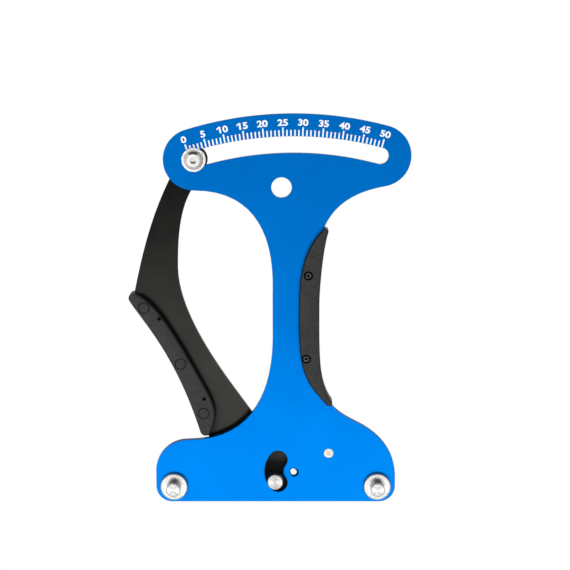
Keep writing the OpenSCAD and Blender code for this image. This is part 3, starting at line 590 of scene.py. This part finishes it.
# Pivot bush: a plain bearing of sintered bronze, pressed into the arm. It turns on the pin's journal.
# Its skin is full of fine pores, which hold oil.
pore_brown = (0.30, 0.17, 0.07)
bronze = (0.56, 0.36, 0.17)
bush_bronze, start, here = new_material("sintered_bronze")
pore = here.noise(2800.0, 3.0)
coat(start, {"Base Color": pore.soft(0.3, 0.6).tint(pore_brown, bronze), "Metallic": 1.0,
             "Roughness": 0.36 + 0.16 * pore, "Normal": pore.bump(0.7, 0.009 * mm)})
fit(finished("pivot_bush", 0.1 * mm), "pivot_bush", "arm", bush_bronze)

# Slip washers and spring arbor: black nylon. The washers keep the arm off the frame plate at the pivot and at
# the pointer, and the coil of the spring sits round the flanged arbor.
nylon_blacks = ((0.012, 0.012, 0.012), (0.024, 0.024, 0.025))
black_nylon, start, here = new_material("black_nylon")
haze = here.noise(700.0, 3.0)
coat(start, {"Base Color": haze.soft(0.3, 0.7).tint(*nylon_blacks), "Roughness": 0.34 + 0.16 * haze,
             "Specular IOR Level": 0.4, "Normal": haze.bump(0.5, 0.008 * mm)})
fit(finished("pivot_glide_washer", 0.08 * mm), "pivot_glide_washer", "arm", black_nylon)
fit(finished("spring_arbor", 0.15 * mm), "spring_arbor", "frame", black_nylon)
fit(finished("pointer_glide_washer", 0.08 * mm), "pointer_glide_washer", "arm", black_nylon)

# Return spring: hard-drawn steel wire of 2 mm, wound round the arbor. Its front leg bends into a hole in the
# arm and its rear leg lies in the slot of the anchor stud. In use it twists between the two as the arm turns;
# here it is one fixed wire in its rest shape, on no body.
wire_radius = 1.0 * mm
coil_radius = 8.0 * mm
coil_pitch = 2.65 * mm
coil_front = 7.1 * mm
whole_turns = 3
leg_side = math.radians(135.0)
leg_length = 18.0 * mm
leg_bend = 2.0 * mm
leg_tip = 2.7 * mm
anchor_place = np.array([17.6, 9.4]) * mm
past_anchor = 6.0 * mm
pivot = np.array([pivot_x, pivot_z])
wire_greys = ((0.30, 0.29, 0.28), (0.46, 0.46, 0.46))


def direction(angle):
    """Unit [x, z] vectors from angles in radians."""
    return np.stack([np.cos(angle), np.sin(angle)], -1)


def tube_faces(rings, sides):
    """Faces of a tube whose points come ring by ring: its walls, and a flat cap at each end."""
    last = (rings - 1) * sides
    caps = [list(range(sides))[::-1], list(range(last, last + sides))]
    return grid_faces(rings, sides, False, True).tolist() + caps


def wire(name, path, radius, sides=20):
    """A round wire along a path of points. Each point's frame is the path's direction, from the points before
    and after it, and a side vector square to that direction and to Y. Where the path starts along Y, the side
    vector is that of its first bend. A ring is path + radius * (cos a * side + sin a * third)."""
    tangent = np.gradient(path, axis=0)
    tangent /= np.linalg.norm(tangent, axis=1, keepdims=True)
    side = np.cross(tangent, [0.0, 1.0, 0.0])
    length = np.linalg.norm(side, axis=1, keepdims=True)
    first = int(np.argmax(length[:, 0] > 0.01))
    side = np.where(length > 0.01, side / np.maximum(length, 0.01), side[first] / length[first])
    third = np.cross(tangent, side)
    angle = np.linspace(0.0, 2 * math.pi, sides, endpoint=False)[None, :, None]
    rings = path[:, None] + radius * (np.cos(angle) * side[:, None] + np.sin(angle) * third[:, None])
    return new_piece(name, rings, tube_faces(len(path), sides), 50.0)


# The coil leaves the arm's leg at one tangent angle and meets the anchor's leg at the other.
leg_angle = leg_side + math.atan(leg_length / coil_radius)
anchor_reach = np.linalg.norm(anchor_place)
anchor_leg = math.sqrt(anchor_reach ** 2 - coil_radius ** 2)
stud_angle = math.atan2(anchor_place[1], anchor_place[0]) - math.atan(anchor_leg / coil_radius)
coil_turn = whole_turns * 2 * math.pi + (stud_angle - leg_angle) % (2 * math.pi)
coil_back = coil_front + coil_pitch * coil_turn / (2 * math.pi)
leg_way = direction(leg_angle + math.pi / 2)
coil_start = coil_radius * direction(leg_angle)
leg_foot = coil_start - leg_length * leg_way
bend = np.linspace(0.0, math.pi / 2, 9)
bent = leg_foot + leg_bend * (1 - np.cos(bend))[:, None] * leg_way
run = np.linspace(0.0, 1.0, 12)[1:-1]
straight = bent[-1] + run[:, None] * (coil_start - bent[-1])
wound = np.linspace(0.0, coil_turn, 220)
coil = coil_radius * direction(leg_angle + wound)
beyond = np.linspace(0.0, anchor_leg + past_anchor, 16)[1:, None]
tail = coil[-1] + beyond * direction(stud_angle + math.pi / 2)
level_path = np.concatenate([leg_foot[None], bent, straight, coil, tail])
height = np.concatenate([[leg_tip], coil_front - leg_bend + leg_bend * np.sin(bend),
                         np.full(len(run), coil_front),
                         coil_front + (coil_back - coil_front) * wound / coil_turn,
                         np.full(len(tail), coil_back)])
spring_path = np.stack([pivot[0] + level_path[:, 0], height, pivot[1] + level_path[:, 1]], -1)
spring = wire("return_spring_wire", spring_path, wire_radius)
spring_steel, start, here = new_material("spring_steel")
draw_marks = here.noise(1500.0, 3.0)
coat(start, {"Base Color": draw_marks.soft(0.3, 0.65).tint(*wire_greys), "Metallic": 1.0,
             "Roughness": 0.24 + 0.16 * draw_marks, "Normal": draw_marks.bump(0.4, 0.008 * mm)})
spring.data.materials.append(spring_steel)
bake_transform(spring)
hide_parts("return_spring")

# Retaining washer and clip: plated steel. The washer closes the stack behind the arbor, and the clip snaps
# into the pin's groove and holds arbor, spring and arm on.
fit(finished("retaining_washer", 0.1 * mm), "retaining_washer", "frame", plated_steel)
fit(finished("retaining_clip", 0.08 * mm), "retaining_clip", "frame", plated_steel)

# Pointer: a button-head screw with a big bright washer at the front. It clamps a sleeve, which runs in the
# slot, and a rear washer against the arm's tip with a hexagon nut. Its steep sides are painted brownish and
# less metallic as shade. Painted shade lies in the lower half of its socket and in the corner round its
# head, and a painted dark reflection lies along the head's upper side.
pointer_place = pivot + scale_radius * direction(math.radians(107.2))
bright_greys = ((0.66, 0.655, 0.64), (0.86, 0.855, 0.83))
steep_shade_brown = (0.52, 0.49, 0.45)
painted_dark = (0.055, 0.047, 0.038)
socket_depth = (-4.9 * mm, -4.4 * mm)
socket_reach = (1.8 * mm, 2.1 * mm)
socket_level = (-1.0 * mm, -0.4 * mm)
corner_depth = (-3.0 * mm, -2.65 * mm)
corner_reach = (3.0 * mm, 3.4 * mm)
side_begins = (2.7 * mm, 3.2 * mm)
side_ends = (4.0 * mm, 4.4 * mm)
bright_steel, start, here = new_material("bright_steel")
patch = here.noise(500.0, 3.0)
depth = here.axis("Y")
level = here.axis("Z") - float(pointer_place[1])
reach = here.reach(pointer_place)
# Painted shade in the socket's lower half and round the head, and a painted dark reflection on its top.
socket = depth.soft(*socket_depth) * (1.0 - reach.soft(*socket_reach)) * (1.0 - level.soft(*socket_level))
corner = depth.soft(*corner_depth) * reach.soft(*corner_reach)
upper = reach.soft(*side_begins) * (1.0 - reach.soft(*side_ends)) * (level / reach).soft(0.72, 0.90)
painted_shade = (0.85 * socket).larger(0.6 * corner).larger(upper)
# Painted shade: the steep sides are brownish and less metallic.
steep = 1.0 - abs(start.facing("Y")).soft(0.60, 0.88)
shine = steep.tint(patch.soft(0.3, 0.7).tint(*bright_greys), steep_shade_brown)
coat(start, {"Base Color": painted_shade.tint(shine, painted_dark), "Metallic": 1.0 - painted_shade.larger(steep),
             "Roughness": 0.20 + 0.10 * patch, "Specular IOR Level": 0.2,
             "Normal": patch.bump(0.5, 0.012 * mm)})
fit(finished("pointer_screw", 0.12 * mm), "pointer_screw", "arm", bright_steel)

# The washer's rim has fine teeth: its outer radius and the depth of its front go in and out by a cosine of so
# many times the angle. They fade out inwards over the rim's width.
washer_front = plate_face - 1.1 * mm
washer_back = washer_front + 1.0 * mm
washer_bore = 2.52 * mm
washer_radius = 6.0 * mm
washer_edge = 0.25 * mm
washer_grey = (0.66, 0.66, 0.65)
teeth = 60
tooth_share = 0.012
tooth_depth = 0.06 * mm
rim_from = 0.86
rim_wide = 0.12
washer = turned("pointer_washer_turned", [
    [washer_bore, washer_front], [washer_radius - washer_edge, washer_front],
    [washer_radius, washer_front + washer_edge], [washer_radius, washer_back], [washer_bore, washer_back]
], tuple(pointer_place), 0.1 * mm, 4 * teeth)
place = points_of(washer.data)
out = place[:, [0, 2]] - pointer_place
rim = np.clip((np.linalg.norm(out, axis=1) / washer_radius - rim_from) / rim_wide, 0.0, 1.0)
gap = rim * (1 - np.cos(teeth * np.arctan2(out[:, 1], out[:, 0])))
at_front = place[:, 1] < (washer_front + washer_back) / 2
place[:, [0, 2]] = pointer_place + out * (1 - tooth_share * gap)[:, None]
place[:, 1] += at_front * tooth_depth * gap
move_points(washer.data, place)
fit(washer, "pointer_washer", "arm", turned_steel("washer_steel", washer_grey, 0.22, 0.35, 0.01 * mm))
fit(finished("pointer_sleeve", 0.1 * mm), "pointer_sleeve", "arm", plated_steel)
fit(finished("pointer_rear_washer", 0.1 * mm), "pointer_rear_washer", "arm", plated_steel)
fit(finished("pointer_nut", 0.12 * mm), "pointer_nut", "arm", plated_steel)

# Body grip: two moulded halves of glass-filled nylon that meet round the right edge of the waist. The front
# half is held to the rear one by two black screws in sunk holes, whose head faces are lighter grey in
# patches.
body_screw_places = ((13.1 * mm, -42.8 * mm), (12.2 * mm, -84.4 * mm))
vent_radius = 0.9 * mm
grip_blacks = ((0.011, 0.011, 0.0105), (0.028, 0.0275, 0.027))
shade_black = (0.0015, 0.0015, 0.0015)
screw_blacks = ((0.0015, 0.0015, 0.0015), (0.003, 0.003, 0.003))
head_patch_grey = (0.14, 0.14, 0.14)
head_front = (-4.8 * mm, -4.7 * mm)


def near(here, places, inner, outer):
    """1 within the inner distance of an axis along Y through one of two [x, z] places, 0 beyond the outer."""
    first, second = (1.0 - here.reach(place).soft(inner, outer) for place in places)
    return first.larger(second)


def grip_plastic(name, inward, vents=None):
    """Grained black plastic. The wall on its inward side, -1 for left and 1 for right, is smooth and painted
    near-black as shade, and so is the rim of each vent, as the hole's shade."""
    material, start, here = new_material(name)
    cloud = here.noise(160.0, 2.0)
    fleck = here.noise(1700.0, 3.0)
    # Painted shade: the inward wall and each vent's rim turn near-black.
    dark = (inward * start.facing("X")).soft(0.25, 0.6)
    if vents:
        dark = dark.larger(near(here, vents, 1.1 * vent_radius, 1.5 * vent_radius))
    skin = (0.25 * cloud + 0.75 * fleck).soft(0.36, 0.64).tint(*grip_blacks)
    coat(start, {"Base Color": dark.tint(skin, shade_black), "Roughness": 0.50 + 0.14 * fleck,
                 "Specular IOR Level": 0.25, "Normal": fleck.bump(0.9, 0.026 * mm)})
    return material


black_oxide, start, here = new_material("black_oxide_screw")
patch = here.noise(1200.0, 2.0)
# Lighter grey patches on the front faces of the body grip's screw heads.
head_patches = (1.0 - here.axis("Y").soft(*head_front)) * near(here, body_screw_places, 1.1 * mm, 1.5 * mm)
oxide = patch.soft(0.3, 0.7).tint(*screw_blacks)
coat(start, {"Base Color": (head_patches * patch.soft(0.3, 0.6)).tint(oxide, head_patch_grey),
             "Roughness": 0.34 + 0.14 * patch, "Specular IOR Level": 0.06,
             "Normal": patch.bump(0.5, 0.008 * mm)})
body_plastic = grip_plastic("body_grip_plastic", -1.0)
fit(finished("body_grip_front", 0.1 * mm), "body_grip_front", "frame", body_plastic)
fit(finished("body_grip_rear", 0.1 * mm), "body_grip_rear", "frame", body_plastic)
fit(finished("body_grip_screws", 0.12 * mm), "body_grip_screws", "frame", black_oxide)

# Arm grip: two halves like the body grip's, round the outer edge of the arm, with their screws driven from
# behind. Small vents show at the front where the screws end.
vent_places = ((-60.3 * mm, -64.9 * mm), (-38.5 * mm, -105.6 * mm))
arm_plastic = grip_plastic("arm_grip_plastic", 1.0, vent_places)
fit(finished("arm_grip_front", 0.1 * mm), "arm_grip_front", "arm", arm_plastic)
fit(finished("arm_grip_rear", 0.1 * mm), "arm_grip_rear", "arm", arm_plastic)
fit(finished("arm_grip_screws", 0.12 * mm), "arm_grip_screws", "arm", black_oxide)

# Grip shadow: a painted shadow in the corner between the arm's face and the grip, wider at the top. It is a
# flat film on the arm, black from just under the grip's edge and fading outwards, and narrows at its ends.
# The grip's edge at each height is where the CAD piece reaches furthest to the right.
film_depth = 0.02 * mm
film_under = -0.3 * mm
film_height = np.linspace(-53.0, -119.0, 70) * mm
share = np.linspace(0.0, 1.0, len(film_height))
film_width = (2.7 - 1.6 * share) * mm
film_width *= np.clip(share / 0.02, 0.05, 1.0) * np.clip((1.0 - share) / 0.2, 0.05, 1.0)
grip_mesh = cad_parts["arm_grip_front"].data
edge = np.empty(len(grip_mesh.edges) * 2, np.int32)
grip_mesh.edges.foreach_get("vertices", edge)
a, b = points_of(grip_mesh)[edge.reshape(-1, 2).T]
rise = np.where(np.abs(b[:, 2] - a[:, 2]) < 1e-9, 1e-9, b[:, 2] - a[:, 2])
t = (film_height[:, None] - a[:, 2]) / rise
grip_edge = np.where((t >= 0) & (t <= 1), a[:, 0] + t * (b[:, 0] - a[:, 0]), -1.0).max(1)
film_line = np.stack([grip_edge, film_height], -1)
slope = np.gradient(film_line, axis=0)
outward = np.stack([-slope[:, 1], slope[:, 0]], -1) / np.linalg.norm(slope, axis=1, keepdims=True)

# Each ring of the film has four corners: how far under the grip, how much of the width, and front or back.
ring = np.array([[film_under, 0.0, 1.0], [0.0, 1.0, 1.0], [0.0, 1.0, -1.0], [film_under, 0.0, -1.0]])
off_edge = ring[None, :, 0] + ring[None, :, 1] * film_width[:, None]
spread = film_line[:, None] + outward[:, None] * off_edge[:, :, None]
depth = np.broadcast_to(arm_front - ring[:, 2] * film_depth, off_edge.shape)
film = new_piece("grip_shadow_film", np.stack([spread[..., 0], depth, spread[..., 1]], -1),
                 tube_faces(len(share), 4), None, {"unshaded": np.tile(ring[:, 1], len(share))})
film.data.materials.append(black_coating("grip_shadow_coating", True))
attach(film, "arm")

# Mould rings: three plain rings that the mould has left on the front half of the arm grip, painted darker
# than the grip as the shade of a moulded groove. Each stands 0.03 mm proud of the face.
grip_face = -1.4 * mm
ring_radius = 2.9 * mm
ring_bore = ring_radius - 0.50 * mm
ring_front = grip_face - 0.03 * mm
ring_back = grip_face + 0.3 * mm
ring_places = {"mould_ring_high": (-73.8, 83.5), "mould_ring_middle": (-56.1, 55.2),
               "mould_ring_low": (-44.8, 29.9)}
# Painted shade: the rings are darker than the grip, as a groove's shade.
ring_shade_blacks = ((0.0012, 0.0012, 0.0012), (0.022, 0.022, 0.021))
ring_plastic, start, here = new_material("ring_shade_plastic")
fleck = here.noise(900.0, 2.0)
coat(start, {"Base Color": fleck.soft(0.45, 0.80).tint(*ring_shade_blacks), "Roughness": 0.55 + 0.1 * fleck,
             "Specular IOR Level": 0.06, "Normal": fleck.bump(0.5, 0.008 * mm)})
for name, place in ring_places.items():
    mould_ring = turned(name, [
        [ring_bore, ring_back], [ring_bore, ring_front], [ring_radius, ring_front], [ring_radius, ring_back]
    ], (pivot_x + place[0] * mm, pivot_z + place[1] * mm), 0.05 * mm, 64)
    mould_ring.data.materials.append(ring_plastic)
    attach(mould_ring, "arm")

# Studio: a white surround that the metal also mirrors, a plain pale floor well below the tool, and soft
# lamps. The low one stands before the foot and is the strongest, so that the blue is lightest there.
white = (1.0, 1.0, 1.0, 1.0)
floor_grey = (0.86, 0.86, 0.86, 1.0)
floor_height = -0.45
floor_corners = [[x, y, floor_height] for x, y in ((-4, -4), (4, -4), (4, 12), (-4, 12))]
lamp_aim = Vector((0.0, 0.0, -0.08))


def unlit_rays(start):
    """1 for the rays that only look at the surround, straight, mirrored or through glass, and 0 for light
    from it."""
    camera_ray, glossy_ray, glass_ray = (start.add("ShaderNodeLightPath", output="Is %s Ray" % kind)
                                         for kind in ("Camera", "Glossy", "Transmission"))
    return camera_ray.larger(glossy_ray).larger(glass_ray)


world = bpy.data.worlds.new("white_surround")
bpy.context.scene.world = world
world.use_nodes = True
world.node_tree.nodes.clear()
start = Shade(world.node_tree)
strength = 0.55 + 0.45 * unlit_rays(start)
surround = start.add("ShaderNodeBackground", None, {"Color": white, "Strength": strength})
start.add("ShaderNodeOutputWorld", None, {"Surface": surround})

floor = new_piece("floor", floor_corners, [[0, 1, 2, 3]])
pale, start, here = new_material("pale_floor")
matt = start.add("ShaderNodeBsdfDiffuse", None, {"Color": floor_grey})
glow = start.add("ShaderNodeEmission", None, {"Color": white, "Strength": 1.0})
seen = start.add("ShaderNodeMixShader", None, {0: unlit_rays(start), 1: matt, 2: glow})
start.add("ShaderNodeOutputMaterial", None, {"Surface": seen})
floor.data.materials.append(pale)

for name, place, wide, high, power in (("low_front_lamp", (0.0, -0.62, -0.50), 0.80, 0.42, 4.8),
                                       ("high_left_lamp", (-0.45, -0.75, 0.45), 0.30, 0.30, 2.0),
                                       ("left_lamp", (-0.62, -0.62, -0.16), 0.25, 0.25, 1.6),
                                       ("rear_lamp", (0.35, 0.8, 0.45), 0.50, 0.50, 4.0)):
    lamp = bpy.data.lights.new(name, "AREA")
    lamp.shape = "RECTANGLE"
    lamp.size = wide
    lamp.size_y = high
    lamp.energy = power
    lit = new_object(name, lamp)
    lit.location = place
    lit.rotation_euler = (lamp_aim - lit.location).to_track_quat("-Z", "Y").to_euler()
